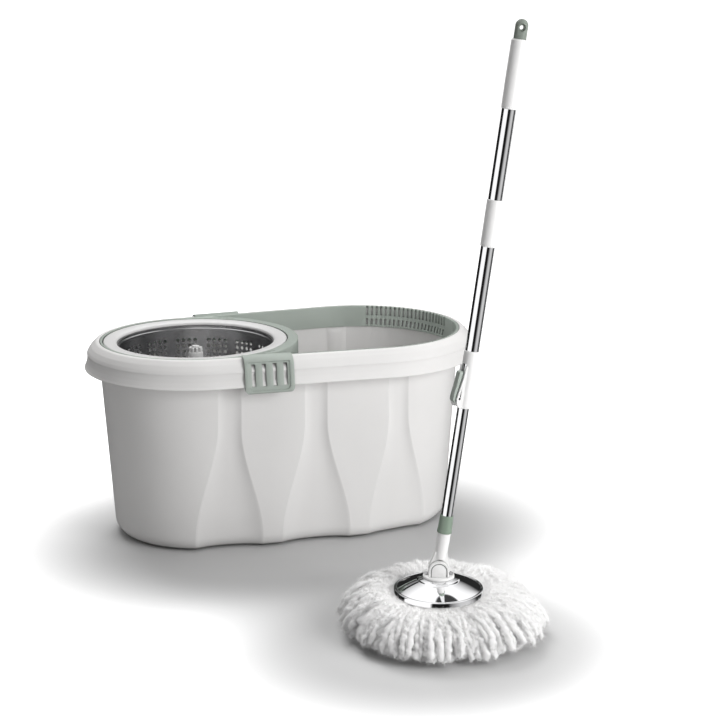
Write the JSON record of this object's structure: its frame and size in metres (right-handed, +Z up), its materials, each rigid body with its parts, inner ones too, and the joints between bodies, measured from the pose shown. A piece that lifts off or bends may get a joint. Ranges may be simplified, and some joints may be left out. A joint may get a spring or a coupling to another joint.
{
  "type": "spin mop",
  "caption": "Oval two-lobe mop bucket with a spinning steel basket, and a hand-press spin mop with a round fringe head and telescopic handle.",
  "frame": {"origin": "on the floor, under the middle of the bucket's length, on the tub's foot face", "axes": "+Z up; +X from the spinner end to the wash end; the mop stands on the -Y side"},
  "size_m": [0.5042, 0.6886, 0.6534],
  "materials": {
    "white_plastic": "moulded, satin gloss",
    "sage_plastic": "moulded, satin",
    "dark_sage_plastic": "moulded, satin",
    "basket_steel": "brushed stainless sheet",
    "pin_steel": "ground",
    "chrome_steel": "polished",
    "microfibre": "twisted looped strands",
    "nylon": "moulded nylon",
    "black_nylon": "moulded nylon",
    "bronze": "sintered bronze"
  },
  "bodies": {
    "bucket": {"tub": "white_plastic", "spin_tower": "white_plastic", "wash_tower": "white_plastic", "splash_guard": "sage_plastic", "spindle_pin": "pin_steel", "wash_pin": "pin_steel"},
    "basket": {"basket_ring": "white_plastic", "spin_basket": "basket_steel", "basket_post": "white_plastic", "hub_flange": "white_plastic", "hub_screws": "pin_steel", "bearing_bushes": "bronze"},
    "rinse_rotor": {"wash_rotor": "white_plastic"},
    "mop_head": {"fringe": "microfibre", "fringe_disc": "white_plastic", "mop_plate": "chrome_steel", "hinge_base": "white_plastic", "hinge_pin": "pin_steel", "plate_screws": "pin_steel"},
    "stem": {"socket": "white_plastic", "lock_collar": "sage_plastic", "lower_tube": "chrome_steel", "drive_nut": "nylon", "nut_sleeve": "black_nylon"},
    "bush_carrier": {"guide_bush": "nylon"},
    "handle": {"clamp_body": "white_plastic", "lever_pin": "pin_steel", "middle_tube": "chrome_steel", "joint_collar": "white_plastic", "upper_tube": "chrome_steel", "grip": "white_plastic", "end_cap": "dark_sage_plastic", "twist_rod": "pin_steel", "rod_anchor": "black_nylon"},
    "lever": {"clamp_lever": "sage_plastic"}
  },
  "joints": [
    {"name": "basket_spin", "type": "hinge", "parent": "bucket", "child": "basket", "pos_m": [-0.1135, 0, 0.2], "axis": [0, 0, 1], "continuous": true},
    {"name": "rinse_spin", "type": "hinge", "parent": "bucket", "child": "rinse_rotor", "pos_m": [0.1025, 0, 0.03], "axis": [0, 0, 1], "continuous": true},
    {"name": "mop_lift", "type": "slide", "parent": "bucket", "child": "mop_head", "axis": [0, 0, 1], "range_m": [0, 0.3]},
    {"name": "head_tilt", "type": "hinge", "parent": "mop_head", "child": "stem", "pos_m": [0.05, -0.426, 0.0716], "axis": [0.3206, 0.9472, 0], "range_deg": [-46, 31]},
    {"name": "handle_press", "type": "slide", "parent": "stem", "child": "bush_carrier", "axis": [0.1253, -0.0424, 0.9912], "range_m": [-0.1, 0.2]},
    {"name": "handle_turn", "type": "hinge", "parent": "bush_carrier", "child": "handle", "pos_m": [0.0728, -0.43372, 0.252], "axis": [0.1253, -0.0424, 0.9912], "continuous": true},
    {"name": "lever_swing", "type": "hinge", "parent": "handle", "child": "lever", "pos_m": [0.06312, -0.43747, 0.26416], "axis": [0.2759, -0.9582, -0.0759], "range_deg": [0, 80]}
  ],
  "couplings": [
    {"joint": "handle_turn", "follows": "handle_press", "rad_per_m": 57.12}
  ]
}
